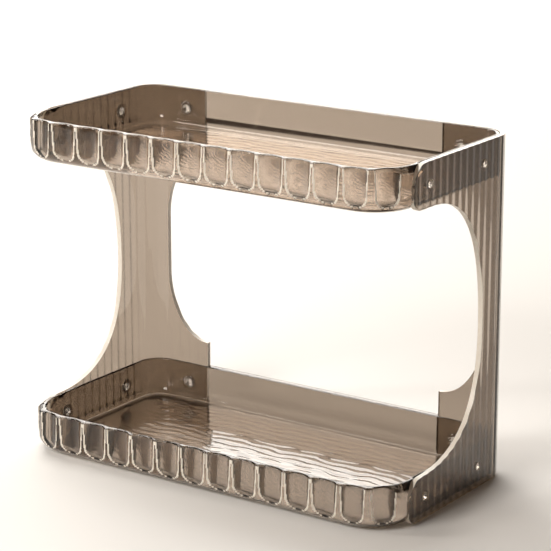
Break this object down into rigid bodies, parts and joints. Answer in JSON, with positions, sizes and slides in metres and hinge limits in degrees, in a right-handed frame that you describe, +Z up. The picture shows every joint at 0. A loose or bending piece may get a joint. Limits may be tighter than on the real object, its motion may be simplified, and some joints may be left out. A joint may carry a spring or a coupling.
{
  "type": "two-tier organizer shelf",
  "caption": "Clear smoke-tinted two-tier organizer: fluted open trays on C-shaped reeded side panels, fixed with snap buttons, on silicone feet.",
  "frame": {"origin": "centre of the footprint, on the surface the organizer stands on", "axes": "+X along the width, towards the right side panel seen from the front; +Y towards the back; +Z up"},
  "size_m": [0.34, 0.174, 0.2655],
  "materials": {
    "clear_smoke_plastic": "clear moulded plastic with a light brown-grey smoke tint, high gloss",
    "clear_snap_plastic": "clear moulded plastic, gloss",
    "clear_silicone": "translucent silicone, satin"
  },
  "bodies": {
    "root": {"lower_tray": "clear_smoke_plastic", "upper_tray": "clear_smoke_plastic", "left_side_panel": "clear_smoke_plastic", "right_side_panel": "clear_smoke_plastic", "snap_lower_left_front": "clear_snap_plastic", "snap_lower_left_side": "clear_snap_plastic", "snap_lower_left_back": "clear_snap_plastic", "snap_lower_right_front": "clear_snap_plastic", "snap_lower_right_side": "clear_snap_plastic", "snap_lower_right_back": "clear_snap_plastic", "snap_upper_left_front": "clear_snap_plastic", "snap_upper_left_side": "clear_snap_plastic", "snap_upper_left_back": "clear_snap_plastic", "snap_upper_right_front": "clear_snap_plastic", "snap_upper_right_side": "clear_snap_plastic", "snap_upper_right_back": "clear_snap_plastic", "foot_front_left": "clear_silicone", "foot_front_right": "clear_silicone", "foot_back_left": "clear_silicone", "foot_back_right": "clear_silicone"}
  },
  "joints": []
}
